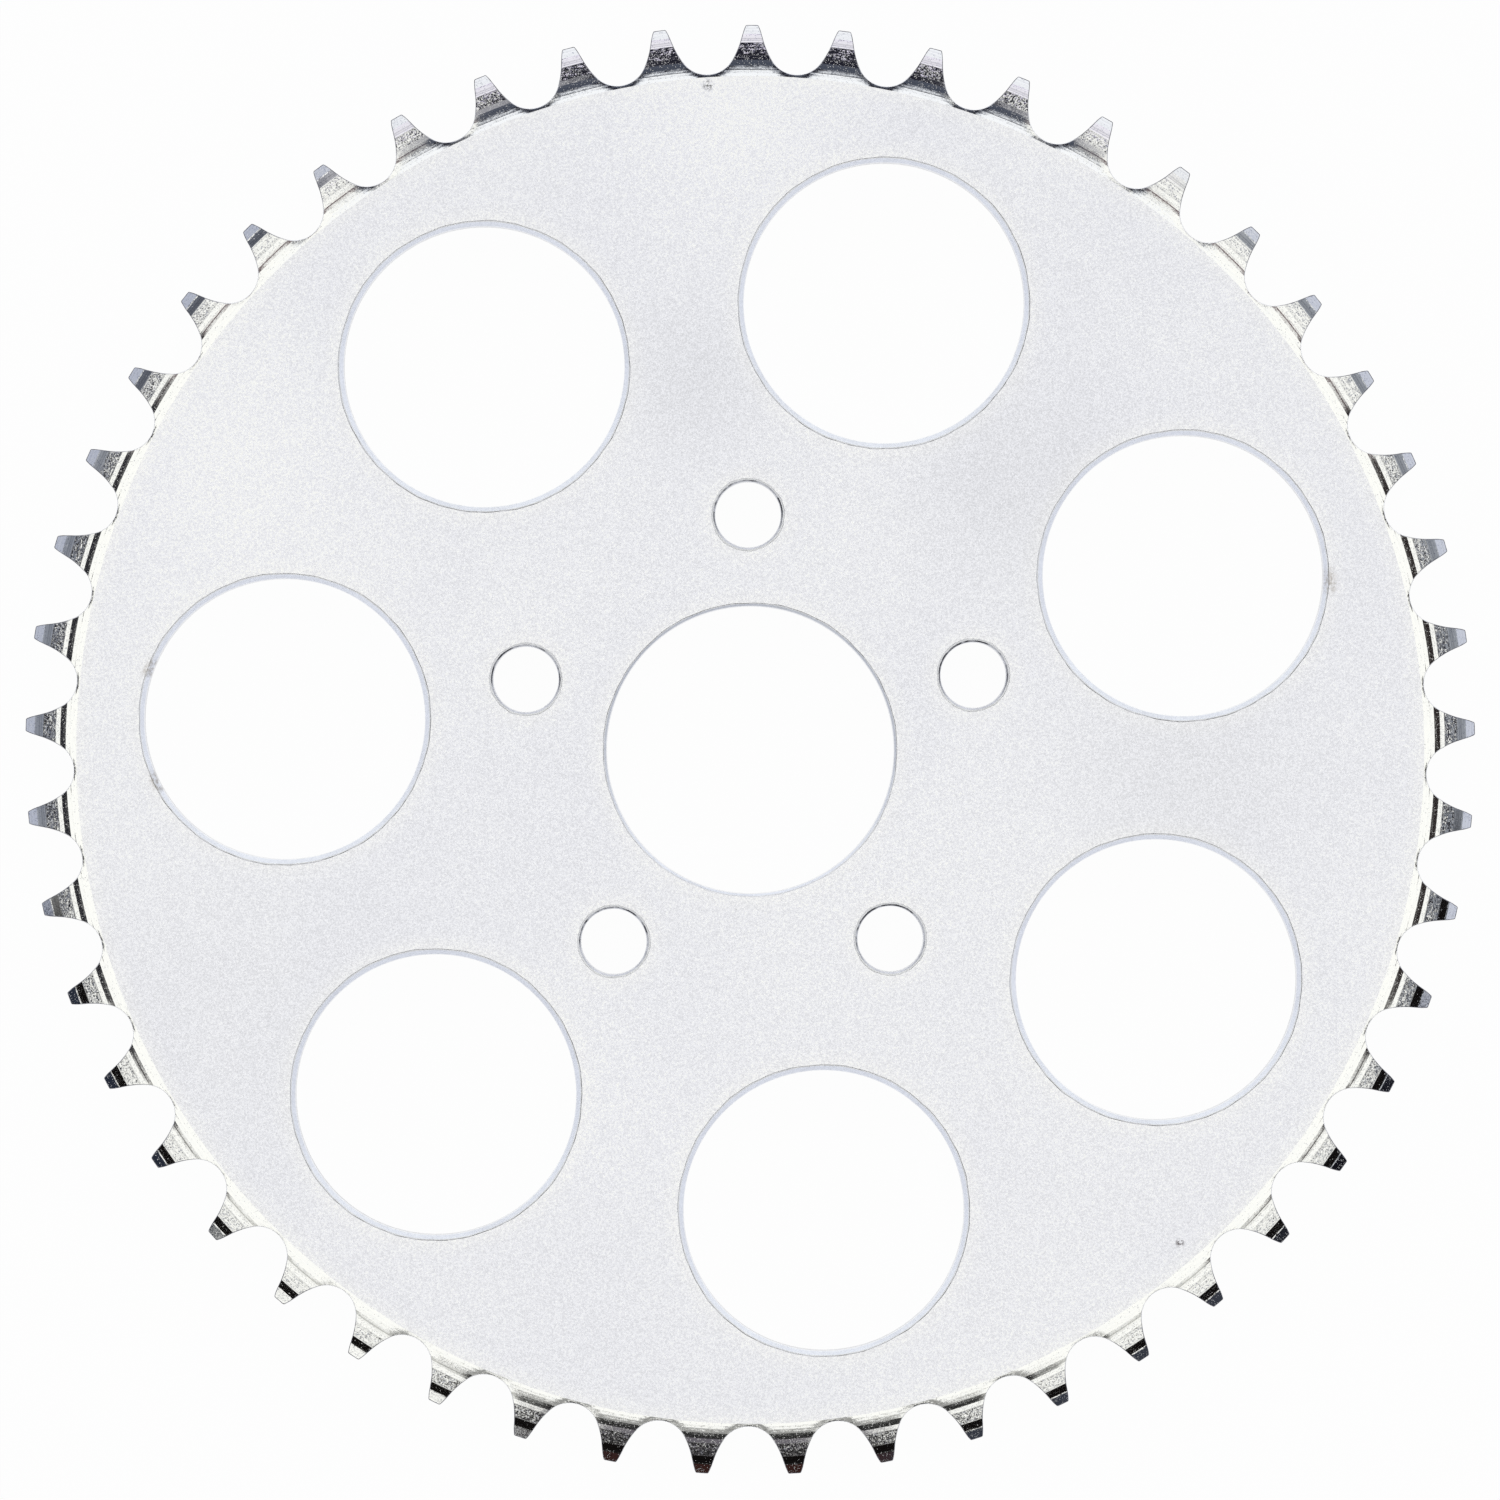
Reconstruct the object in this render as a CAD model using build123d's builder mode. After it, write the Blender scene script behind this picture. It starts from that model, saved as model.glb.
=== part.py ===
from build123d import *
from math import acos, cos, degrees, hypot, radians, sin, tan
import os

# Motorcycle rear chain sprocket: one flat steel plate, toothed for a 5/8 inch pitch roller chain.
# The bore axis is +Z, the back face lies on z = 0, the origin is the centre of the bore, and one
# tooth is centred on +Y. All lengths are in millimetres and all angles in degrees.

# The chain that the sprocket carries
chain_pitch = 15.875
roller_d = 10.16
seat_play = 0.0762  # extra width of the tooth seat over its roller, beyond half a percent
flank_play = 0.0381  # extra radius of the working flank

# The toothed plate
teeth = 49
plate_t = 8.7
tip_height = 3.36  # tips stand this far outside the pitch circle, where the blank was turned off
# Flats of the turned bevel on both sides of the teeth, from the face outwards: width and slope
bevel_flats = ((1.95, 2.3), (1.7, 7.6), (2.25, 14.6), (3.1, 24.5))

# The hub: a pilot bore and the bolt circle around it
bore_d = 50.4
bore_chamfer = 0.45
bolt_count = 5
bolt_circle_d = 82.55
bolt_hole_d = 11.5
bolt_chamfer = 0.5
first_bolt_angle = 90.7  # laser-cut beside the tooth on +Y, not exactly under its tip

# The web: round windows that lighten the plate
window_count = 7
window_circle_d = 163.7
window_d = 49.2
window_chamfer = 1.1
first_window_angle = 73.5

# Worked out: the circles that the teeth are set out on
half_step = 180 / teeth
pitch_r = chain_pitch / 2 / sin(radians(half_step))
tip_r = pitch_r + tip_height
cutter_r = tip_r + roller_d / 10  # a tooth gap is cut this far out, clear of the tips

# Worked out: the standard tooth form, as radii, turns and the straight between them
seat_r = (1.005 * roller_d + seat_play) / 2
seat_turn = 90 - (35 + 60 / teeth)
flank_r = 1.3025 * roller_d + flank_play
flank_turn = 18 - 56 / teeth
straight_turn = 17 - 64 / teeth
straight = roller_d * (1.4 * sin(radians(straight_turn)) - 0.8 * sin(radians(flank_turn)))
crown_r = roller_d * (0.8 * cos(radians(flank_turn)) + 1.4 * cos(radians(straight_turn)) - 1.3025)
crown_r -= flank_play


def bevel_corners():
    """Corners of the turned rim on the front side, from the face out to the tip: radius, height."""
    radius = tip_r - sum(width for width, slope in bevel_flats)
    height = plate_t
    corners = [(radius, height)]
    for width, slope in bevel_flats:
        radius += width
        height -= width * tan(radians(slope))
        corners.append((radius, height))
    return corners


# One tooth gap, open outwards, between two teeth. Each stretch leaves the last along its tangent.
with BuildSketch() as tooth_gap:
    with BuildLine():
        seat = CenterArc((0, pitch_r), seat_r, -90 - seat_turn, 2 * seat_turn)
        flank = JernArc(seat @ 1, seat % 1, flank_r, flank_turn)
        side = Line(flank @ 1, flank @ 1 + straight * (flank % 1))
        crown_centre = side @ 1 + crown_r * (side % 1).rotate(Axis.Z, -90)
        crown_reach = hypot(crown_centre.X, crown_centre.Y)
        # Angles at the crown's centre, from the radial line through it to both ends of the crown
        crown_start = crown_centre.get_angle(side @ 1 - crown_centre)
        crown_end = degrees(
            acos((cutter_r**2 - crown_reach**2 - crown_r**2) / (2 * crown_reach * crown_r))
        )
        crown = JernArc(side @ 1, side % 1, crown_r, crown_end - crown_start)
        mouth = Line(crown @ 1, (0, cutter_r))
        mirror([flank, side, crown, mouth], about=Plane.YZ)
    make_face()

with BuildPart() as sprocket_plate:
    # The turned blank, with its bevelled rim on both sides
    front = bevel_corners()
    back = [(radius, plate_t - height) for radius, height in reversed(front)]
    with BuildSketch(Plane.YZ):
        with BuildLine():
            Polyline((0, plate_t), *front, *back, (0, 0), close=True)
        make_face()
    revolve(axis=Axis.Z)

    # Pilot bore, bolt holes and windows, each with both its edges chamfered
    bolt_places = PolarLocations(bolt_circle_d / 2, bolt_count, first_bolt_angle)
    window_places = PolarLocations(window_circle_d / 2, window_count, first_window_angle)
    for hole_d, hole_chamfer, places in (
        (bore_d, bore_chamfer, Locations((0, 0))),
        (bolt_hole_d, bolt_chamfer, bolt_places),
        (window_d, window_chamfer, window_places),
    ):
        with places:
            Hole(hole_d / 2)
        chamfer(sprocket_plate.edges(Select.LAST).filter_by(GeomType.CIRCLE), hole_chamfer)

    # The tooth gaps, half a step to either side of the tooth on +Y
    with BuildSketch():
        with PolarLocations(0, teeth, half_step):
            add(tooth_gap.sketch)
    extrude(amount=plate_t, mode=Mode.SUBTRACT)

sprocket_plate.part.label = "sprocket_plate"
os.makedirs("parts", exist_ok=True)
export_step(sprocket_plate.part, "parts/sprocket_plate.step")
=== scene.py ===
import cmath
from collections import namedtuple
from itertools import product
from math import acos, ceil, cos, pi, radians, sin, tan

import bpy
import numpy as np
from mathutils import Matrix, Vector
from mathutils.geometry import delaunay_2d_cdt


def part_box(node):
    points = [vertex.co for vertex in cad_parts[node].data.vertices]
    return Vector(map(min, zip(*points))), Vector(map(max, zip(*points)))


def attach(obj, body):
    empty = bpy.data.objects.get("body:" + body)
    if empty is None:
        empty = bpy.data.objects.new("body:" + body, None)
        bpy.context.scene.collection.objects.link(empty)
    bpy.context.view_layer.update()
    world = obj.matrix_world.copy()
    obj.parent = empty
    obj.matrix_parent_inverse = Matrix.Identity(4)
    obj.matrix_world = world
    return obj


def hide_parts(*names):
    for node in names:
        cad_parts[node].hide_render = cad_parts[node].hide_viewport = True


# A zinc-plated motorcycle rear sprocket, lying on a white table and seen from straight above.
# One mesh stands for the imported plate. It has the plate's own sizes, with the finer flats of the
# turned bevel, broken edges and hand-deburred holes. Sizes are in millimetres and angles in
# degrees, except where a line says metres.

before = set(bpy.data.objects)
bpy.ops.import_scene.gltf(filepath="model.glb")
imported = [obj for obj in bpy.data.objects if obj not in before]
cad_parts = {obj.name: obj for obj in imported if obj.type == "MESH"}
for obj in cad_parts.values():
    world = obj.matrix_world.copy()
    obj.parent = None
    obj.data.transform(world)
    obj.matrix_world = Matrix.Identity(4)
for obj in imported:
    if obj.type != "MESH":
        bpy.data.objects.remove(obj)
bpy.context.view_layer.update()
MM = 0.001
low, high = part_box("sprocket_plate")

# ---------------------------------------------------------------- sizes of the sprocket

plate_t = (high.z - low.z) / MM
tip_r = high.y / MM  # one tooth is centred on +Y
teeth = 49
half_step = 180 / teeth

# The chain that the sprocket carries
chain_pitch = 15.875
roller_d = 10.16
seat_play = 0.0762  # extra width of the tooth seat over its roller, beyond half a percent
flank_play = 0.0381  # extra radius of the working flank
pitch_r = chain_pitch / 2 / sin(radians(half_step))

# The standard tooth form: seat, flank, a short straight and the crown
seat_r = (1.005 * roller_d + seat_play) / 2
seat_turn = 90 - (35 + 60 / teeth)
flank_r = 1.3025 * roller_d + flank_play
flank_turn = 18 - 56 / teeth
side_turn = 17 - 64 / teeth
side_length = roller_d * (1.4 * sin(radians(side_turn)) - 0.8 * sin(radians(flank_turn)))
crown_r = roller_d * (0.8 * cos(radians(flank_turn)) + 1.4 * cos(radians(side_turn)) - 1.3025)
crown_r -= flank_play

# The turned bevel, from the face outwards: width and slope of each flat. The narrow ones are
# the steps that the tool left between two passes.
bevel_flats = (
    (0.5, 1.5),
    (0.56, 2.2),
    (0.1, 4.5),
    (0.4, 2.8),
    (0.29, 3.4),
    (0.45, 5.7),
    (0.2, 6.4),
    (0.35, 7.2),
    (0.75, 9.1),
    (0.1, 11.8),
    (1.05, 14.0),
    (1.15, 15.2),
    (1.3, 20.8),
    (0.2, 18.8),
    (1.6, 27.1),
)

# The bevel rolls down a little to each tooth gap
roll_w = 1.5  # how wide the roll is
roll_drop = 0.034  # and how deep
roll_reach = 8.0  # how far round the gap it goes, from the bottom of the gap
roll_start = 0.5  # how far outside the face's edge it is whole
roll_steps = (0.4, 0.85, 1.4)  # lines of points this far from the outline
tip_corner_r = 0.3  # the tips' corners, seen from above
edge_r = 0.12  # the broken edge all round the teeth

# How fine the mesh of the teeth is
arc_pieces = 14  # pieces in an arc that runs right across one tooth's share
outline_step = 0.5  # the longest piece of the outline
outline_turn = 0.4  # the most that a piece of the outline turns, in radians
fineness = 5  # outline_step is this many times the outline's shortest piece
edge_rows = 3  # rows of faces in the broken edge

# Material slots
FACE, BEVEL, WALL, EDGE, LINE, DARK_LINE, BORED, CHAMFER = range(8)

# The round holes: how many, the radius of the circle they lie on, the first one's angle and their
# radius. From the hole outwards come a chamfer, a lip and a line, given as widths. Then how many
# columns of faces go round the hole, and the slots of the chamfer, the lip and the line.
Hole = namedtuple("Hole", "count circle_r first radius chamfer lip line columns slots")
holes = (
    Hole(1, 0.0, 0.0, 25.2, 0.45, 0.1, 0.08, 150, (BORED, CHAMFER, DARK_LINE)),
    Hole(5, 41.275, 90.7, 5.75, 0.38, 0.24, 0.05, 72, (DARK_LINE, CHAMFER, LINE)),
    Hole(7, 81.85, 73.5, 24.6, 0.8, 0.16, 0.1, 150, (CHAMFER, CHAMFER, LINE)),
)
lip_slope = 2.0  # down towards the hole
line_slope = 25.0  # likewise
hole_edge = 0.1  # the broken edge between a chamfer and the hole's wall
chatter = 0.035  # how far the hand-held deburring wandered, for each of its waves
chatter_waves = (3, 7, 16, 37)  # how many waves go round a hole
halo_w = 3.6  # the band of face beside every edge where a brighter tone is painted on, a painted glow


# ---------------------------------------------------------------- the tooth outline

CROSSING_ERROR = 1e-9  # how far off its circle a crossing may be


def half_tooth():
    """Half of one tooth's outline, from the bottom of a gap to the middle of the tip, as stretches
    of a length and a curvature, which is positive where the outline turns left."""
    heading = cmath.exp(1j * radians(seat_turn))
    seat_end = 1j * pitch_r - 1j * seat_r * heading
    turned = cmath.exp(1j * radians(flank_turn))
    flank_end = seat_end + 1j * heading * flank_r * (1 - turned)
    heading *= turned
    crown_centre = flank_end + side_length * heading - 1j * heading * crown_r
    # The corner is an arc inside both the crown's circle and the tips' circle
    reach = abs(crown_centre)
    to_corner = tip_r - tip_corner_r
    past = crown_r - tip_corner_r
    lean = acos((reach**2 + to_corner**2 - past**2) / (2 * reach * to_corner))
    corner_from = cmath.phase(crown_centre) + lean
    corner_centre = cmath.rect(to_corner, corner_from)
    crown_from = cmath.phase(1j * heading)
    crown_to = cmath.phase(corner_centre - crown_centre)
    return (
        (seat_r * radians(seat_turn), 1 / seat_r),
        (flank_r * radians(flank_turn), 1 / flank_r),
        (side_length, 0.0),
        (crown_r * (crown_from - crown_to), -1 / crown_r),
        (tip_corner_r * (crown_to - corner_from), -1 / tip_corner_r),
        (tip_r * (corner_from - radians(90 - half_step)), -1 / tip_r),
    )


def outline(stretches, distance):
    """The point this far along the half outline, and the direction into the metal there. The
    tooth is the one on +Y, and the outline climbs its left side."""
    place, heading = 1j * (pitch_r - seat_r), 1 + 0j
    for length, curvature in stretches:
        step = min(distance, length)
        if curvature:
            turn = cmath.exp(1j * curvature * step)
            place += heading * (turn - 1) / (1j * curvature)
            heading *= turn
        else:
            place += heading * step
        distance -= step
        if distance <= 0:
            break
    to_tooth = cmath.exp(1j * radians(half_step))
    return place * to_tooth, -1j * heading * to_tooth


def inset_radius(stretches, distance):
    """How far from the axis the inner side of the broken edge is, this far along the outline."""
    place, inward = outline(stretches, distance)
    return abs(place + edge_r * inward)


def outline_samples(stretches, circles):
    """Distances along the half outline where the mesh has a point. One falls exactly where the
    outline crosses each circle of the bevel: those are also returned by the circle's number."""
    total = sum(length for length, curvature in stretches)
    even, start = [], 0.0
    for length, curvature in stretches:
        pieces = ceil(max(length / outline_step, length * abs(curvature) / outline_turn))
        even += [start + length * i / pieces for i in range(pieces)]
        start += length
    crossings = {}
    for number, (radius, height) in enumerate(circles):
        near, far = 0.0, total
        if not inset_radius(stretches, near) < radius < inset_radius(stretches, far):
            continue
        while far - near > CROSSING_ERROR:
            middle = (near + far) / 2
            if inset_radius(stretches, middle) < radius:
                near = middle
            else:
                far = middle
        crossings[number] = far
    taken = list(crossings.values())
    clear = [s for s in even[1:] if all(abs(s - t) > outline_step / fineness for t in taken)]
    return sorted([0.0, total] + clear + taken), crossings


# ---------------------------------------------------------------- the mesh

CELLS = 1000  # in a millimetre, to look places up in
SAME_PLACE = 0.0001  # places closer than this are one
INSIDE = 1  # the triangulation keeps only what lies inside the border
MERGED = 1e-6  # and merges points that are closer than this


class Drawing:
    """Lines in the plane, which a triangulation then keeps."""

    def __init__(self):
        self.places, self.lines, self.numbers = [], [], {}

    def number(self, place):
        """The number of this place, which is new unless it was used before."""
        column, row = round(place.real * CELLS), round(place.imag * CELLS)
        for cell in product((column, column - 1, column + 1), (row, row - 1, row + 1)):
            known = self.numbers.get(cell)
            if known is not None and abs(self.places[known] - place) < SAME_PLACE:
                return known
        self.numbers[column, row] = len(self.places)
        self.places.append(place)
        return self.numbers[column, row]

    def chain(self, places):
        """Straight lines from each place to the next. Returns the numbers of the places."""
        run = [self.number(place) for place in places]
        self.lines += list(zip(run, run[1:]))
        return run

    def triangulate(self, border):
        """Fills the closed border. Returns places, triangles counterclockwise from above, and the
        edges made along each drawn line, with the line's number."""
        flat = [Vector((place.real, place.imag)) for place in self.places]
        made = delaunay_2d_cdt(flat, self.lines, [border], INSIDE, MERGED)
        places = [complex(*place) for place in made[0]]
        along = [(edge, min(lines)) for edge, lines in zip(made[1], made[4]) if lines]
        triangles = []
        for a, b, c in made[2]:
            turn = (places[b] - places[a]).conjugate() * (places[c] - places[a])
            triangles.append((a, b, c) if turn.imag > 0 else (a, c, b))
        return places, triangles, along


class Plate:
    """Collects the points and faces of the mesh. Only the front half is described: each of its
    points and faces has a twin on the back, which comes next in the list."""

    def __init__(self):
        self.points, self.wear, self.faces, self.slots = [], [], [], []
        self.creases = set()

    def point(self, place, z, wear=0.0):
        """Adds a point on the front and returns its number."""
        self.points.append((place.real * MM, place.imag * MM, z * MM))
        self.points.append((place.real * MM, place.imag * MM, (plate_t - z) * MM))
        self.wear += [wear, wear]
        return len(self.points) - 2

    def face(self, corners, slot):
        """Adds a face on the front, counterclockwise from above."""
        self.faces.append(tuple(corners))
        self.faces.append(tuple(corner + 1 for corner in reversed(corners)))
        self.slots += [slot, slot]

    def crease(self, a, b):
        """Keeps the edge between two points crisp."""
        self.creases.add((min(a, b), max(a, b)))
        self.creases.add((min(a, b) + 1, max(a, b) + 1))

    def strip(self, left, right, slots, crisp=True):
        """Faces between two columns of points that run from the face towards the void, the right
        one on the right hand."""
        for i, slot in enumerate(slots):
            self.face((left[i], right[i], right[i + 1], left[i + 1]), slot)
            if crisp:
                self.crease(left[i + 1], right[i + 1])

    def wall(self, left, right):
        """A face from the edge between two points straight down to the edge's twin."""
        self.crease(left, right)
        self.faces.append((left, right, right + 1, left + 1))
        self.slots.append(WALL)


def bevel_circles():
    """Radius and height of every circle of the turned bevel, from the face outwards."""
    radius, height = tip_r - sum(width for width, slope in bevel_flats), plate_t
    circles = [(radius, height)]
    for width, slope in bevel_flats:
        radius += width
        height -= width * tan(radians(slope))
        circles.append((radius, height))
    return circles


def in_pairs(ring):
    """Each item of a closed ring with the next one."""
    return zip(ring, ring[1:] + ring[:1])


def arc(radius, start, end, pieces):
    """Places along a circle round the axis, from one angle to another, in radians."""
    return [cmath.rect(radius, start + (end - start) * i / pieces) for i in range(pieces + 1)]


def rim_height(circles, edge, place):
    """Height of the front surface at a place of the rim. Near the bottom of a gap the surface
    rolls down towards the edge, which is given as points of the outline and how far along the
    outline each is."""
    outline_places, distances = edge
    gaps = np.abs(outline_places - place)
    nearest = int(gaps.argmin())
    height = float(np.interp(abs(place), *zip(*circles)))
    past = max(0.0, 1 - (gaps[nearest] - edge_r) / roll_w)
    fading = min(1.0, distances[nearest] / roll_reach)
    rising = min(1.0, max(0.0, (abs(place) - circles[0][0]) / roll_start))
    return height - roll_drop * past**2 * cos(pi / 2 * fading) ** 2 * rising


def one_tooth(circles):
    """The front of one tooth, from the face to the top of its wall, as a dict of its points with
    their heights, its triangles, its creases, the columns of its broken edge, its inner arc, and
    the pairs of points where its left side meets the last tooth's right side."""
    stretches = half_tooth()
    samples, crossings = outline_samples(stretches, circles)
    left = [outline(stretches, s) for s in samples]
    whole = left + [(-p.conjugate(), -n.conjugate()) for p, n in reversed(left[:-1])]
    drawing = Drawing()

    # Lines that stay crisp come first: the outer line and the circles of the bevel
    outer = drawing.chain([p + edge_r * n for p, n in whole])
    start, end = radians(90 + half_step), radians(90 - half_step)
    root = inset_radius(stretches, 0.0)
    for number, (radius, height) in enumerate(circles):
        if radius < root:
            drawing.chain(arc(radius, start, end, arc_pieces))
        elif number in crossings:
            place, inward = outline(stretches, crossings[number])
            from_angle = cmath.phase(place + edge_r * inward)
            pieces = ceil(2 * (from_angle - pi / 2) * radius / outline_step)
            drawing.chain(arc(radius, from_angle, pi - from_angle, pieces))
    crisp = len(drawing.lines)

    # Lines that only carry the roll of the edge: the sides, the inner arc and the shoulders
    inner_r = circles[0][0] - halo_w
    inner = drawing.chain(arc(inner_r, start, end, arc_pieces))
    side_radii = [radius for radius, height in circles if radius < root]
    side_radii += [abs(outline(stretches, 0.0)[0]) - step for step in roll_steps]
    side_radii = [inner_r] + sorted(side_radii) + [root]
    sides = [drawing.chain([cmath.rect(r, angle) for r in side_radii]) for angle in (start, end)]
    rolled = [s for s in samples if s < roll_reach]
    for step in roll_steps:
        shoulder = [p + step * n for p, n in (outline(stretches, s) for s in rolled)]
        drawing.chain(shoulder)
        drawing.chain([-p.conjugate() for p in shoulder])

    border = outer + sides[1][-2:0:-1] + inner[::-1] + sides[0][1:-1]
    places, triangles, along = drawing.triangulate(border)
    fine_steps = ceil((fineness + 1) * roll_reach / outline_step)  # a little past the roll's end
    distances = [i * outline_step / fineness for i in range(fine_steps)]
    near_half = [outline(stretches, s)[0] for s in distances]
    edge = np.array(near_half + [-p.conjugate() for p in near_half]), distances * 2
    points = [(place, rim_height(circles, edge, place)) for place in places]

    columns = []
    for (place, inward), number in zip(whole, outer):
        columns.append([number])
        for row in range(1, edge_rows + 1):
            angle = pi / 2 * row / edge_rows
            at = place + edge_r * (1 - sin(angle)) * inward
            columns[-1].append(len(points))
            points.append((at, points[number][1] - edge_r * (1 - cos(angle))))
    return {
        "points": points,
        "triangles": triangles,
        "creases": [edge for edge, line in along if line < crisp],
        "columns": columns,
        "inner": inner,
        "seam": list(zip(sides[0] + columns[0][1:], sides[1] + columns[-1][1:])),
    }


def rim(plate):
    """The toothed rim, tooth by tooth. Returns the ring of points that the face joins on to."""
    circles = bevel_circles()
    face_r = circles[0][0]
    made = one_tooth(circles)
    ring, first, numbers = [], [], []
    for tooth in range(teeth):
        turn = cmath.exp(-2j * radians(half_step) * tooth)
        known = {left: numbers[right] for left, right in made["seam"]} if tooth else {}
        if tooth == teeth - 1:
            known.update((right, first[left]) for left, right in made["seam"])
        numbers = []
        for i, (place, height) in enumerate(made["points"]):
            # Painted glow: how much brighter the face is painted here, full at the face's edge
            wear = min(1.0, max(0.0, 1 - (face_r - abs(place)) / halo_w))
            numbers.append(known[i] if i in known else plate.point(place * turn, height, wear))
        first = first or numbers
        for triangle in made["triangles"]:
            middle = abs(sum(made["points"][i][0] for i in triangle)) / 3
            plate.face([numbers[i] for i in triangle], FACE if middle < face_r else BEVEL)
        for a, b in made["creases"]:
            plate.crease(numbers[a], numbers[b])
        columns = [[numbers[i] for i in column] for column in made["columns"]]
        for left, right in zip(columns, columns[1:]):
            plate.strip(left, right, [EDGE] * edge_rows, crisp=False)
            plate.wall(left[-1], right[-1])
        ring += [numbers[i] for i in made["inner"][:-1]]
    return ring


def hole(plate, kind, centre, phases):
    """One round hole, chamfered and deburred by hand. Returns its ring of points on the face."""
    line_z = plate_t - kind.line * tan(radians(line_slope))
    lip_z = line_z - kind.lip * tan(radians(lip_slope))
    chamfer_r = kind.radius + kind.chamfer
    chamfer_slot, lip_slot, line_slot = kind.slots
    columns = []
    for i in range(kind.columns):
        angle = 2 * pi * i / kind.columns
        wander = sum(sin(n * angle + p) for n, p in zip(chatter_waves, phases)) * chatter
        # Each row: radius, height, and how much painted glow the face gets there
        profile = (
            (chamfer_r + kind.lip + kind.line + halo_w, plate_t, 0.0),
            (chamfer_r + kind.lip + kind.line + wander, plate_t, 1.0),
            (chamfer_r + kind.lip + wander, line_z, 1.0),
            (chamfer_r + wander / 2, lip_z, 1.0),
            (kind.radius + hole_edge, plate_t - kind.chamfer + hole_edge, 1.0),
            (kind.radius, plate_t - kind.chamfer - hole_edge, 1.0),
        )
        ray = cmath.exp(1j * angle)
        columns.append([plate.point(centre + ray * r, z, wear) for r, z, wear in profile])
    for left, right in in_pairs(columns):
        plate.strip(left, right, (FACE, line_slot, lip_slot, chamfer_slot, CHAMFER))
        plate.wall(left[-1], right[-1])
    return [column[0] for column in columns]


def web(plate, border, hole_rings):
    """The flat face between the rim's ring and the holes' rings."""
    drawing = Drawing()
    corner_of, ring_of = {}, {}
    for ring in [border] + hole_rings:
        places = [complex(*plate.points[corner][:2]) / MM for corner in ring]
        numbers = drawing.chain(places + places[:1])
        corner_of.update(zip(numbers, ring))
        ring_of.update((number, ring[0]) for number in numbers)
    outside = [drawing.number(complex(*plate.points[corner][:2]) / MM) for corner in border]
    places, triangles, along = drawing.triangulate(outside)
    for triangle in triangles:
        rings_met = {ring_of[number] for number in triangle}
        # Inside a hole, a triangle has all its corners on that hole's own ring
        if len(rings_met) > 1 or border[0] in rings_met:
            plate.face([corner_of[number] for number in triangle], FACE)


def sprocket():
    """The whole sprocket as one mesh object."""
    plate = Plate()
    phase_of = np.random.default_rng(seed=7)
    hole_rings = []
    for kind in holes:
        for i in range(kind.count):
            centre = cmath.rect(kind.circle_r, radians(kind.first + 360 / kind.count * i))
            phases = phase_of.uniform(0, 2 * pi, len(chatter_waves))
            hole_rings.append(hole(plate, kind, centre, phases))
    web(plate, rim(plate), hole_rings)

    mesh = bpy.data.meshes.new("zinc_plated_sprocket")
    mesh.from_pydata(plate.points, [], plate.faces)
    mesh.polygons.foreach_set("material_index", plate.slots)
    mesh.polygons.foreach_set("use_smooth", [True] * len(mesh.polygons))
    # The painted glow beside the edges, for the face's material
    wear = mesh.attributes.new("edge_wear", "FLOAT", "POINT")
    wear.data.foreach_set("value", plate.wear)
    crisp = mesh.attributes.new("sharp_edge", "BOOLEAN", "EDGE")
    sharp = [(min(e.vertices), max(e.vertices)) in plate.creases for e in mesh.edges]
    crisp.data.foreach_set("value", sharp)
    mesh.validate()
    obj = bpy.data.objects.new(mesh.name, mesh)
    bpy.context.scene.collection.objects.link(obj)
    return obj


# ---------------------------------------------------------------- nodes


class Nodes:
    """A node tree, with short calls that add to it and mostly return an output socket."""

    def __init__(self, owner):
        owner.use_nodes = True
        self.tree = owner.node_tree
        self.tree.nodes.clear()

    def add(self, kind, inputs=None, output=0, **settings):
        """Adds a node, sets its settings, and sets or links its inputs."""
        node = self.tree.nodes.new("ShaderNode" + kind)
        for name, value in settings.items():
            setattr(node, name, value)
        for name, value in (inputs or {}).items():
            if isinstance(value, bpy.types.NodeSocket):
                self.tree.links.new(value, node.inputs[name])
            else:
                node.inputs[name].default_value = value
        return node.outputs[output] if len(node.outputs) else node

    def math(self, operation, a, b=0.0, clamp=False):
        """One operation on numbers."""
        return self.add("Math", {0: a, 1: b}, operation=operation, use_clamp=clamp)

    def vector(self, operation, a, b=(0, 0, 0), output=0):
        """One operation on vectors."""
        return self.add("VectorMath", {0: a, 1: b}, output, operation=operation)

    def fade(self, value, start, end, low=0.0, high=1.0):
        """From low to high, smoothly, as value goes from start to end."""
        inputs = {0: value, 1: start, 2: end, 3: low, 4: high}
        return self.add("MapRange", inputs, interpolation_type="SMOOTHSTEP")

    def mix(self, factor, a, b):
        """From colour a to colour b."""
        return self.add("Mix", {0: factor, 6: a, 7: b}, 2, data_type="RGBA")

    def scaled(self, vector, factor):
        """A vector times a number."""
        return self.add("VectorMath", {0: vector, "Scale": factor}, operation="SCALE")

    def tint(self, colour, factor):
        """A colour times a fixed number."""
        return self.vector("MULTIPLY", colour, (factor, factor, factor))

    def noise(self, place, scale, detail=2.0, roughness=0.5):
        """Noise from 0 to 1 at this place."""
        inputs = {"Vector": place, "Scale": scale, "Detail": detail, "Roughness": roughness}
        return self.add("TexNoise", inputs)

    def split(self, vector):
        """The three parts of a vector."""
        node = self.tree.nodes.new("ShaderNodeSeparateXYZ")
        self.tree.links.new(vector, node.inputs[0])
        return tuple(node.outputs)

    def place(self):
        """The place on the object, in metres."""
        return self.add("TexCoord", output="Object")


# ---------------------------------------------------------------- the studio


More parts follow.
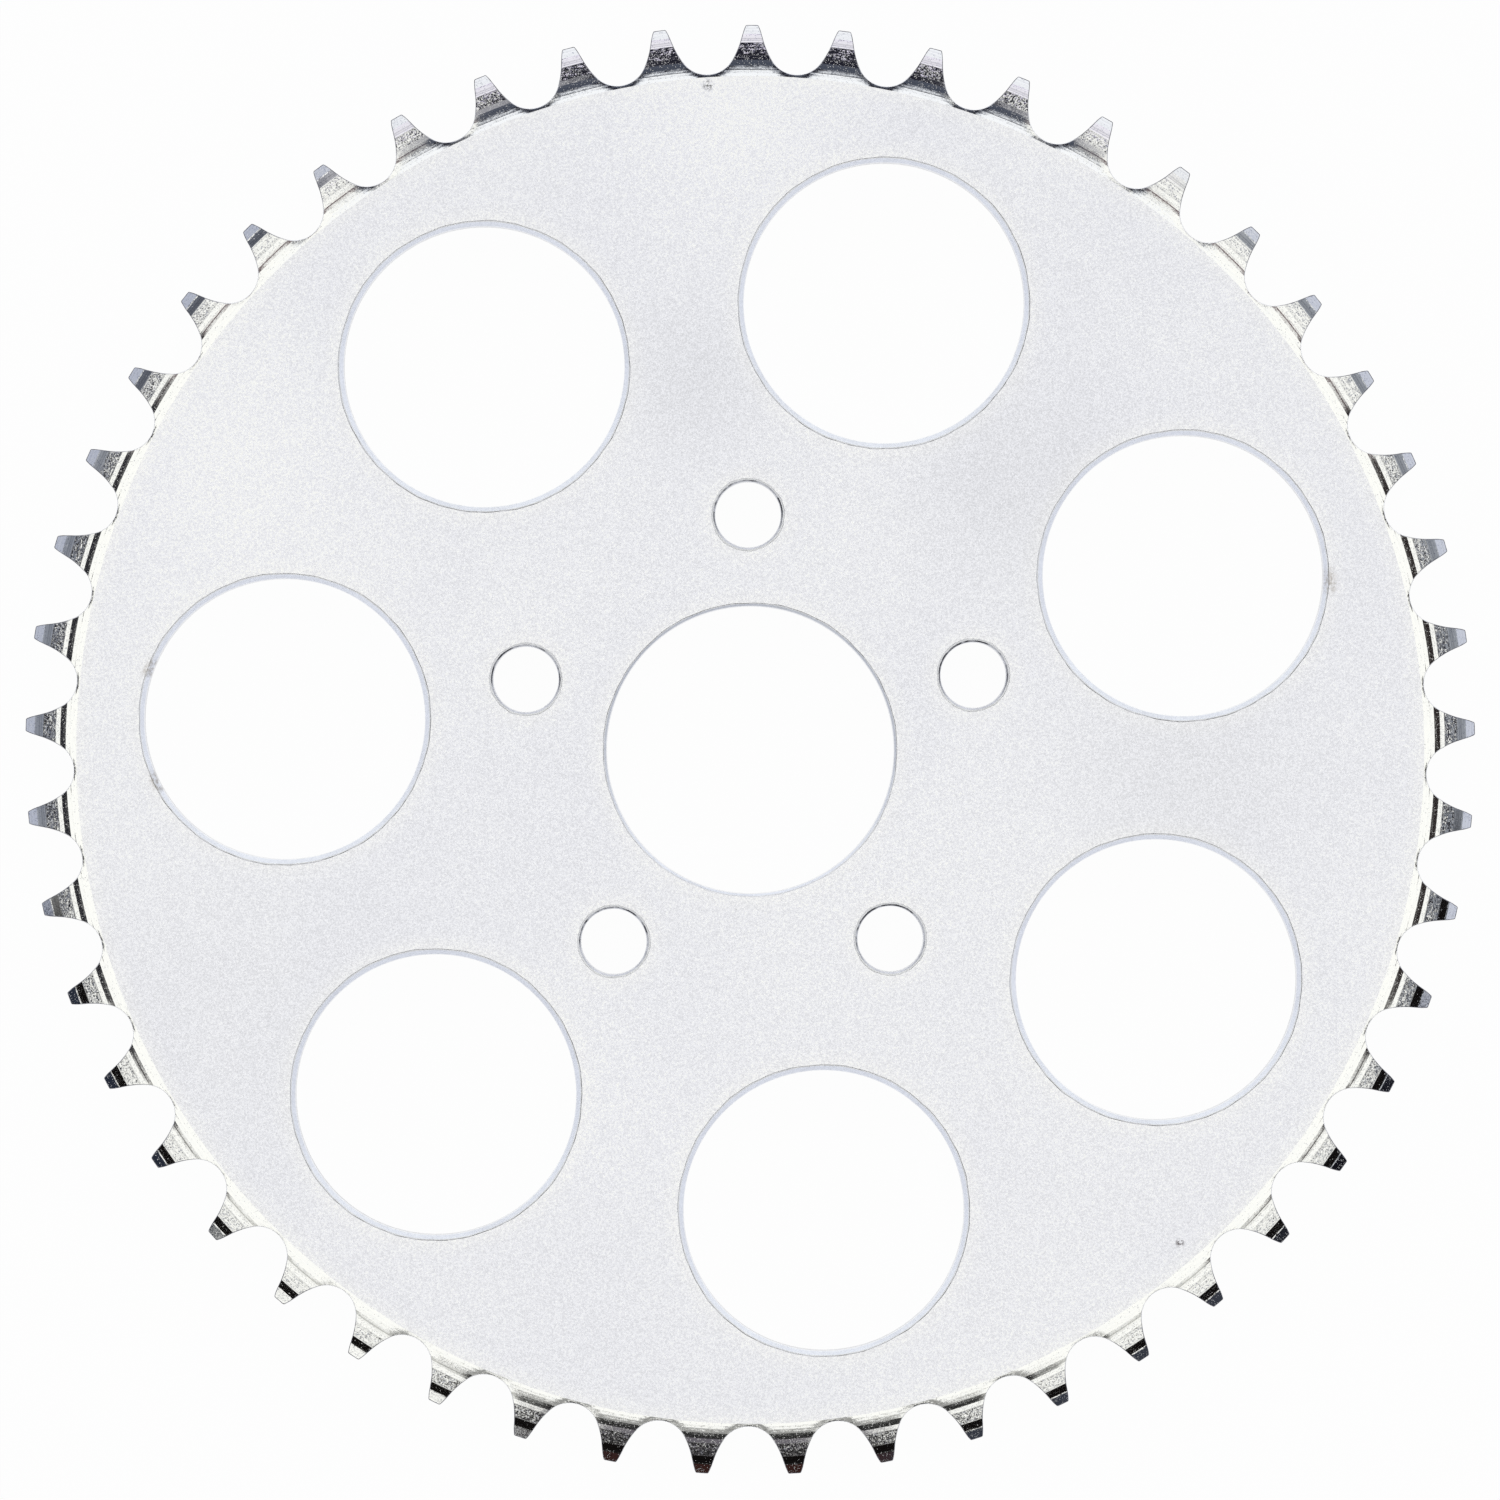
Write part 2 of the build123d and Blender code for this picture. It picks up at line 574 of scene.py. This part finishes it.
# The room above the table, as light panels and dark flags: azimuth, half width, then from and to
# this far from straight up, in degrees, and the colour. Later ones lie over earlier ones. They
# suit the bevel as it is seen from straight above.
ROOM_PANELS = (
    # overhead, in rings round the camera
    (90, 84, 13.6, 15.6, (0.09, 0.04, 0.05)),
    (270, 84, 13.6, 15.6, (0.50, 0.50, 0.47)),
    (206, 8, 13.6, 15.6, (0.05, 0.04, 0.04)),
    (326, 8, 13.6, 15.6, (0.05, 0.04, 0.04)),
    (270, 84, 24.4, 26.4, (0.50, 0.50, 0.47)),
    (2, 27, 12.2, 18, (0.02, 0.015, 0.015)),
    (177, 30, 12.2, 18, (0.02, 0.02, 0.025)),
    (358, 24, 25.5, 32.5, (0.04, 0.04, 0.05)),
    (174, 26, 25.5, 32.5, (0.02, 0.02, 0.025)),
    (90, 36, 3.6, 7.0, (0.97, 0.99, 1.03)),
    (90, 31, 7.0, 12.5, (0.35, 0.37, 0.42)),
    (90, 29, 8.6, 12.2, (0.015, 0.015, 0.025)),
    (90, 29, 12, 18, (0.07, 0.08, 0.11)),
    (90, 31, 17, 26, (0.33, 0.33, 0.36)),
    (87, 17, 17, 26, (0.015, 0.015, 0.025)),
    (92, 25, 25.5, 36, (0.02, 0.02, 0.03)),
    (268, 22, 7.0, 11, (0.30, 0.30, 0.29)),
    (272, 24, 12.2, 18, (0.02, 0.02, 0.02)),
    (267, 12, 17, 26, (0.14, 0.13, 0.15)),
    (267, 19, 25.5, 41, (0.02, 0.02, 0.02)),
    (267, 17, 31.5, 33.5, (0.16, 0.15, 0.16)),
    # lower down, towards the walls
    (358, 22, 32.5, 37, (0.24, 0.26, 0.30)),
    (174, 28, 32.5, 37, (0.21, 0.22, 0.26)),
    (5, 45, 37, 50, (0.30, 0.32, 0.36)),
    (140, 16, 40, 50, (0.12, 0.13, 0.16)),
    (172, 18, 37, 50, (0.26, 0.28, 0.33)),
    (90, 32, 36, 41.5, (0.78, 0.74, 0.88)),
    (90, 34, 41.5, 50, (0.92, 0.90, 0.98)),
    (90, 38, 50, 75, (0.93, 0.95, 1.0)),
    (0, 50, 50, 66, (0.60, 0.63, 0.73)),
    (170, 46, 50, 66, (0.47, 0.50, 0.60)),
    (272, 82, 40.4, 50, (0.006, 0.005, 0.005)),
    (209, 15, 50, 66, (0.02, 0.025, 0.04)),
    (294, 45, 50, 66, (0.04, 0.045, 0.06)),
    (326, 8, 50, 66, (0.006, 0.006, 0.01)),
    (268, 13, 50, 66, (0.035, 0.014, 0.012)),
)
PANEL_SOFT = 6.0  # how softly a panel ends to its sides
PANEL_RIM = 0.6  # and upwards and downwards
ROOM_LIGHT = (1.04, 1.04, 1.005)  # the colour of the room between the panels
HORIZON = (0.86, 0.90, 0.99)  # and low down
HORIZON_FROM = 60  # where the one begins to turn into the other, from straight up
HORIZON_TO = 88  # and where it ends
TABLE_GLOW = 0.97  # the part of the table's white that no shadow falls on


def studio():
    """The world: white to the camera, and the room's panels to everything else."""
    world = bpy.data.worlds.new("studio")
    bpy.context.scene.world = world
    n = Nodes(world)
    direction = n.add("TexCoord", output="Generated")
    x, y, z = n.split(direction)
    from_up = n.math("MULTIPLY", n.math("ARCCOSINE", z), 180 / pi)
    level = n.vector("NORMALIZE", n.add("CombineXYZ", {0: x, 1: y}))
    low_down = n.fade(from_up, HORIZON_FROM, HORIZON_TO)
    colour = n.mix(low_down, ROOM_LIGHT + (1,), HORIZON + (1,))
    for azimuth, half_w, nearest, farthest, paint in ROOM_PANELS:
        middle = (cos(radians(azimuth)), sin(radians(azimuth)), 0)
        ahead = n.vector("DOT_PRODUCT", level, middle, "Value")
        outside = cos(radians(half_w + PANEL_SOFT))
        within = n.fade(ahead, outside, cos(radians(half_w - PANEL_SOFT)))
        past = n.fade(from_up, nearest - PANEL_RIM, nearest + PANEL_RIM)
        before = n.fade(from_up, farthest + PANEL_RIM, farthest - PANEL_RIM)
        share = n.math("MULTIPLY", within, n.math("MULTIPLY", past, before))
        colour = n.mix(share, colour, paint + (1,))
    seen = n.add("LightPath", output="Is Camera Ray")
    colour = n.mix(seen, colour, (1, 1, 1, 1))
    background = n.add("Background", {"Color": colour, "Strength": 1.0})
    n.add("OutputWorld", {"Surface": background})


def table():
    """A white table that keeps a faint shadow of the sprocket."""
    size = 6.0  # metres
    drop = 0.0001  # metres, between the plate and the table
    mesh = bpy.data.meshes.new("table")
    corners = [(-size, -size), (size, -size), (size, size), (-size, size)]
    mesh.from_pydata([(x, y, low.z - drop) for x, y in corners], [], [(0, 1, 2, 3)])
    material = bpy.data.materials.new("white_table")
    n = Nodes(material)
    paths = n.tree.nodes.new("ShaderNodeLightPath").outputs
    seen = n.math("ADD", paths["Is Camera Ray"], paths["Is Glossy Ray"])
    seen = n.math("ADD", seen, paths["Is Transmission Ray"], clamp=True)
    paper = n.add("BsdfDiffuse", {"Color": (0.95, 0.95, 0.95, 1)})
    glow = n.add("Emission", {"Color": (1, 1, 1, 1), "Strength": 1.0})
    white = n.math("MULTIPLY", seen, TABLE_GLOW)
    surface = n.add("MixShader", {0: white, 1: paper, 2: glow})
    n.add("OutputMaterial", {"Surface": surface})
    mesh.materials.append(material)
    obj = bpy.data.objects.new("table", mesh)
    bpy.context.scene.collection.objects.link(obj)


def camera():
    """Straight above the bore, far away, so that the holes' walls stay hidden."""
    distance = 4.0  # metres
    frame_half = 0.13158  # metres, what the picture shows to each side, at the front face
    aside_x, aside_y = -0.00004, -0.00002  # metres, off the bore's axis
    turned = 0.15  # counterclockwise
    data = bpy.data.cameras.new("camera")
    data.sensor_width = 36.0
    data.lens = data.sensor_width / 2 * (distance - high.z) / frame_half
    data.clip_end = 20.0
    obj = bpy.data.objects.new("camera", data)
    obj.location = (aside_x, aside_y, distance)
    obj.rotation_euler = (0, 0, radians(turned))
    bpy.context.scene.collection.objects.link(obj)
    bpy.context.scene.camera = obj


# ---------------------------------------------------------------- materials

# Scales of the noises, as cells in a metre
FACE_GRAIN = 3400
FACE_CLOUDS = 22
TURNING_MARKS = 3200
WALL_MARKS = 2500
LIP_GRAIN = 1800
LIP_BREAKS = 420
EDGE_WANDER = 900

# The bevel's texture, in metres. Marks go all the way round the axis, streaks are short pieces of
# them and grains are as wide as long.
STREAK_W = 0.00012
STREAK_L = 0.0008
FINE = 0.000115  # the size of a grain
COARSE = 0.00018  # and where it is larger
# Each zone ends at a radius. It has how far marks, streaks and grains lean there, the share of
# grains that are dull, how dark the marks are, the share of grains that are grey, and the size of
# a grain.
Zone = namedtuple("Zone", "end marks streaks grains dull darkness grey grain")
ZONES = (
    Zone(0.12016, 0.020, 0.012, 0.015, 0.015, 0.06, 0.01, FINE),
    Zone(0.12106, 0.012, 0.006, 0.008, 0.040, 0.20, 0.015, FINE),
    Zone(0.12186, 0.012, 0.014, 0.018, 0.130, 0.05, 0.02, FINE),
    Zone(0.12411, 0.050, 0.100, 0.090, 0.120, 0.35, 0.10, COARSE),
    Zone(0.12541, 0.020, 0.030, 0.015, 0.015, 0.45, 0.06, FINE),
    Zone(0.12900, 0.030, 0.050, 0.050, 0.070, 0.15, 0.04, FINE),
)
ZONE_SOFT = 0.00006  # how softly one zone turns into the next
BRIGHT = 0.06  # roughness of the bevel's zinc
DULL = 0.35  # and of the few dull grains in it

# Wide soft patches in the plating: where and how far they reach, in millimetres, and how much
# lighter or darker they are
PATCHES = (
    (-5.0, 112.0, 38.0, 1.07),
    (-95.0, 48.0, 44.0, 1.05),
    (-92.0, -42.0, 44.0, 0.965),
    (-10.0, 65.0, 22.0, 0.935),
    (46.0, 46.0, 32.0, 0.935),
    (76.0, -4.0, 34.0, 0.935),
    (-26.0, -64.0, 34.0, 1.035),
)


def patched(n, place, tone):
    """The tone with the patches over it."""
    level = n.vector("MULTIPLY", place, (1, 1, 0))
    for patch_x, patch_y, reach, change in PATCHES:
        away = n.vector("DISTANCE", level, (patch_x * MM, patch_y * MM, 0), "Value")
        tone = n.mix(n.fade(away, reach * MM, 0.0), tone, n.tint(tone, change))
    return tone


# Marks on the front: where, how far they reach, in millimetres, how strong, how softly they break
# up, and their colour
STAIN = (0.33, 0.28, 0.22, 1)
MARKS = (
    (-104.7, 14.9, 1.6, 0.45, 0.2, STAIN),
    (-105.2, 13.6, 2.2, 0.60, 0.2, STAIN),
    (-104.4, -4.7, 1.8, 0.45, 0.2, STAIN),
    (-103.7, -6.2, 2.3, 0.60, 0.2, STAIN),
    (101.5, 31.0, 1.9, 0.45, 0.2, STAIN),
    (101.6, 29.2, 2.2, 0.55, 0.2, STAIN),
    (-7.7, 116.6, 1.4, 0.85, 0.08, (0.07, 0.07, 0.06, 1)),
    (75.6, -86.3, 1.1, 0.90, 0.08, (0.06, 0.04, 0.04, 1)),
    (-2.3, -27.9, 0.4, 0.60, 0.08, (0.25, 0.25, 0.25, 1)),
)
MARK_BREAKS = 1500  # scale of the noise that breaks the marks up


def marked(n, place, tone):
    """The tone with the marks over it."""
    x, y, z = n.split(place)
    level = n.add("CombineXYZ", {0: x, 1: y})
    broken = n.noise(place, MARK_BREAKS, 2.0, 0.6)
    front = n.fade(z, low.z + 0.6 * (high.z - low.z), high.z - 0.2 * (high.z - low.z))
    for mark_x, mark_y, reach, strength, soft, colour in MARKS:
        away = n.vector("DISTANCE", level, (mark_x * MM, mark_y * MM, 0), "Value")
        near = n.fade(away, reach * MM, 0.2 * reach * MM, 0.0, strength)
        breaks = n.fade(broken, 0.5 - soft, 0.5 + soft)
        tone = n.mix(n.math("MULTIPLY", n.math("MULTIPLY", near, breaks), front), tone, colour)
    return tone


def plated_face():
    """Satin zinc on the flat faces: lavender white, finely grained, painted brighter beside the
    edges as a painted glow, and brighter in soft patches, with a few marks on the front."""
    material = bpy.data.materials.new("zinc_face")
    n = Nodes(material)
    place = n.place()
    grain = n.noise(place, FACE_GRAIN, 1.0, 0.5)
    clouds = n.noise(place, FACE_CLOUDS, 3.0, 0.5)
    tone = n.mix(n.fade(clouds, 0.3, 0.7), (0.885, 0.89, 0.955, 1), (0.92, 0.925, 0.985, 1))
    # Painted glow: the face's tone is painted brighter beside every edge
    wear = n.add("Attribute", output="Fac", attribute_name="edge_wear")
    halo = n.math("MULTIPLY", n.math("POWER", wear, 1.5), 0.7)
    tone = n.mix(halo, tone, (0.955, 0.955, 0.985, 1))
    tone = patched(n, place, tone)
    tone = n.mix(n.fade(grain, 0.25, 0.75), n.tint(tone, 0.87), n.tint(tone, 1.09))
    tone = marked(n, place, tone)
    bump = n.add("Bump", {"Strength": 1.0, "Distance": 0.000004, "Height": grain})
    shader = n.add(
        "BsdfPrincipled", {"Base Color": tone, "Metallic": 1.0, "Roughness": 0.2, "Normal": bump}
    )
    n.add("OutputMaterial", {"Surface": shader})
    return material


def by_zone(n, radius, name):
    """The number that the zones have under this name, changing quickly from zone to zone."""
    value = getattr(ZONES[0], name)
    for zone, beyond in zip(ZONES, ZONES[1:]):
        past = n.fade(radius, zone.end - ZONE_SOFT, zone.end + ZONE_SOFT)
        change = getattr(beyond, name) - getattr(zone, name)
        value = n.math("ADD", value, n.math("MULTIPLY", past, change))
    return value


def cells(n, radius, around, width, length):
    """Three random numbers from -0.5 to 0.5 for every cell of a pattern round the axis."""
    place = n.add(
        "CombineXYZ", {0: n.math("DIVIDE", radius, width), 1: n.math("DIVIDE", around, length)}
    )
    colour = n.add("TexVoronoi", {"Vector": place, "Scale": 1.0}, "Color", voronoi_dimensions="2D")
    return n.vector("SUBTRACT", colour, (0.5, 0.5, 0.5))


def turned_bevel():
    """Bright zinc over turning marks, which run round the axis, with a sparkling grain."""
    material = bpy.data.materials.new("zinc_turned")
    n = Nodes(material)
    x, y, z = n.split(n.place())
    level = n.add("CombineXYZ", {0: x, 1: y})
    radius = n.vector("LENGTH", level, output="Value")
    around = n.math("MULTIPLY", n.math("ARCTAN2", y, x), pitch_r * MM)
    # Marks and streaks lean in and out, and every grain of the zinc leans its own way
    mark = n.noise(n.add("CombineXYZ", {0: radius}), TURNING_MARKS, 2.0, 0.6)
    marks = n.math("MULTIPLY", n.math("SUBTRACT", mark, 0.5), by_zone(n, radius, "marks"))
    streak = n.split(cells(n, radius, around, STREAK_W, STREAK_L))[0]
    streaks = n.math("MULTIPLY", streak, by_zone(n, radius, "streaks"))
    grain_size = by_zone(n, radius, "grain")
    grains = cells(n, radius, around, grain_size, grain_size)
    lean = n.scaled(grains, by_zone(n, radius, "grains"))
    outwards = n.scaled(n.vector("NORMALIZE", level), n.math("ADD", marks, streaks))
    surface_normal = n.add("NewGeometry", output="Normal")
    normal = n.vector("ADD", n.vector("ADD", surface_normal, lean), outwards)
    dull_share = by_zone(n, radius, "dull")
    dull = n.math("GREATER_THAN", n.math("ADD", n.split(grains)[2], dull_share), 0.5)
    tone = n.mix(n.math("ADD", streak, 0.5), (0.94, 0.945, 0.945, 1), (0.99, 0.99, 0.97, 1))
    lined = n.math("MULTIPLY", n.fade(mark, 0.4, 0.65), by_zone(n, radius, "darkness"))
    tone = n.mix(lined, tone, (0.10, 0.10, 0.11, 1))
    grey_share = by_zone(n, radius, "grey")
    grey = n.math("GREATER_THAN", n.math("ADD", n.split(grains)[1], grey_share), 0.5)
    tone = n.mix(grey, tone, (0.42, 0.43, 0.48, 1))
    shader = n.add(
        "BsdfPrincipled",
        {
            "Base Color": tone,
            "Metallic": 1.0,
            "Roughness": n.fade(dull, 0.0, 1.0, BRIGHT, DULL),
            "Normal": n.vector("NORMALIZE", normal),
        },
    )
    n.add("OutputMaterial", {"Surface": shader})
    return material


def cut_wall():
    """The walls of the teeth and holes, with fine marks from face to face."""
    material = bpy.data.materials.new("zinc_wall")
    n = Nodes(material)
    stretched = n.vector("MULTIPLY", n.place(), (1, 1, 0.05))
    marks = n.noise(stretched, WALL_MARKS, 3.0, 0.6)
    tone = n.mix(n.fade(marks, 0.3, 0.7), (0.66, 0.67, 0.71, 1), (0.80, 0.81, 0.84, 1))
    bump = n.add("Bump", {"Strength": 0.3, "Distance": 0.00005, "Height": marks})
    shader = n.add(
        "BsdfPrincipled", {"Base Color": tone, "Metallic": 1.0, "Roughness": 0.32, "Normal": bump}
    )
    n.add("OutputMaterial", {"Surface": shader})
    return material


def facing(n, azimuth):
    """How far the surface faces this way, seen from above, from -1 to 1."""
    x, y, z = n.split(n.add("NewGeometry", output="Normal"))
    level = n.vector("NORMALIZE", n.add("CombineXYZ", {0: x, 1: y}))
    ahead = (cos(radians(azimuth)), sin(radians(azimuth)), 0)
    return n.vector("DOT_PRODUCT", level, ahead, "Value")


def deburred(name, azimuth, away, towards, broken, roughness=0.3):
    """Zinc over a deburred edge, with painted shade on the side that faces the azimuth. The first
    colour is the lit one, where it faces away from the azimuth, and the second is the painted
    shade, where it faces towards it. Broken says how broken up the painted shade is, from 0 to 1."""
    material = bpy.data.materials.new(name)
    n = Nodes(material)
    place = n.place()
    grain = n.noise(place, LIP_GRAIN, 2.0, 0.6)
    gaps = n.noise(place, LIP_BREAKS, 2.0, 0.6)
    breaks = n.fade(gaps, 0.4, 0.6, 1.0 - broken, 1.0)
    # Painted shade: the side that faces the azimuth takes the second, darker colour
    share = n.math("MULTIPLY", n.fade(facing(n, azimuth), -1.0, 0.3), breaks)
    tone = n.mix(share, away, towards)
    tone = n.mix(n.fade(grain, 0.3, 0.7), n.tint(tone, 0.95), n.tint(tone, 1.03))
    tone = marked(n, place, tone)
    shader = n.add("BsdfPrincipled", {"Base Color": tone, "Metallic": 1.0, "Roughness": roughness})
    n.add("OutputMaterial", {"Surface": shader})
    return material


def line_with_painted_shade():
    """The line round the windows and bolt holes, bright on one side and with painted shade on the
    side that faces the azimuth.
    """
    return deburred("zinc_line_painted_shade", 118, (0.90, 0.90, 0.92, 1), (0.16, 0.16, 0.17, 1), 0.6, 0.45)


def dark_line_with_painted_shade():
    """The line round the bore and the chamfers of the bolt holes, bright on one side and with
    painted shade on the other.
    """
    return deburred("zinc_dark_line_painted_shade", 270, (0.90, 0.90, 0.92, 1), (0.10, 0.10, 0.11, 1), 0.8, 0.45)


def bored_chamfer():
    """The chamfer of the bore, with painted shade on the side that faces the azimuth."""
    return deburred("zinc_bored_painted_shade", 270, (0.95, 0.96, 0.99, 1), (0.62, 0.63, 0.66, 1), 0.0)


def window_chamfer():
    """The chamfers of the windows, and the lips of all the holes, with painted shade on the side
    that faces the azimuth.
    """
    return deburred("zinc_chamfer_painted_shade", 270, (0.97, 0.98, 1.0, 1), (0.87, 0.88, 0.92, 1), 0.0)


# The broken edge of the teeth is bright at the gaps and is painted darker between these radii, in
# metres, a painted shade
EDGE_PAINTED_SHADE_FROM = 0.1198
EDGE_PAINTED_SHADE_TO = 0.1235


def broken_edge():
    """The broken edge round the teeth, with painted shade that darkens it towards the tips."""
    material = bpy.data.materials.new("zinc_edge")
    n = Nodes(material)
    place = n.place()
    wander = n.noise(place, EDGE_WANDER, 2.0, 0.6)
    # Painted shade: dark tones for the edge towards the tips, broken up by noise
    tone = n.mix(n.fade(wander, 0.35, 0.65), (0.08, 0.08, 0.10, 1), (0.30, 0.30, 0.33, 1))
    radius = n.vector("LENGTH", n.vector("MULTIPLY", place, (1, 1, 0)), output="Value")
    tone = n.mix(n.fade(radius, EDGE_PAINTED_SHADE_FROM, EDGE_PAINTED_SHADE_TO), (0.96, 0.96, 0.97, 1), tone)
    shader = n.add("BsdfPrincipled", {"Base Color": tone, "Metallic": 1.0, "Roughness": 0.5})
    n.add("OutputMaterial", {"Surface": shader})
    return material


# ---------------------------------------------------------------- the scene

plate_object = sprocket()
# In the order of the slots
surfaces = (
    plated_face,
    turned_bevel,
    cut_wall,
    broken_edge,
    line_with_painted_shade,
    dark_line_with_painted_shade,
    bored_chamfer,
    window_chamfer,
)
for make in surfaces:
    plate_object.data.materials.append(make())
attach(plate_object, "root")
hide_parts("sprocket_plate")
studio()
table()
camera()
bpy.context.scene.view_settings.view_transform = "Standard"
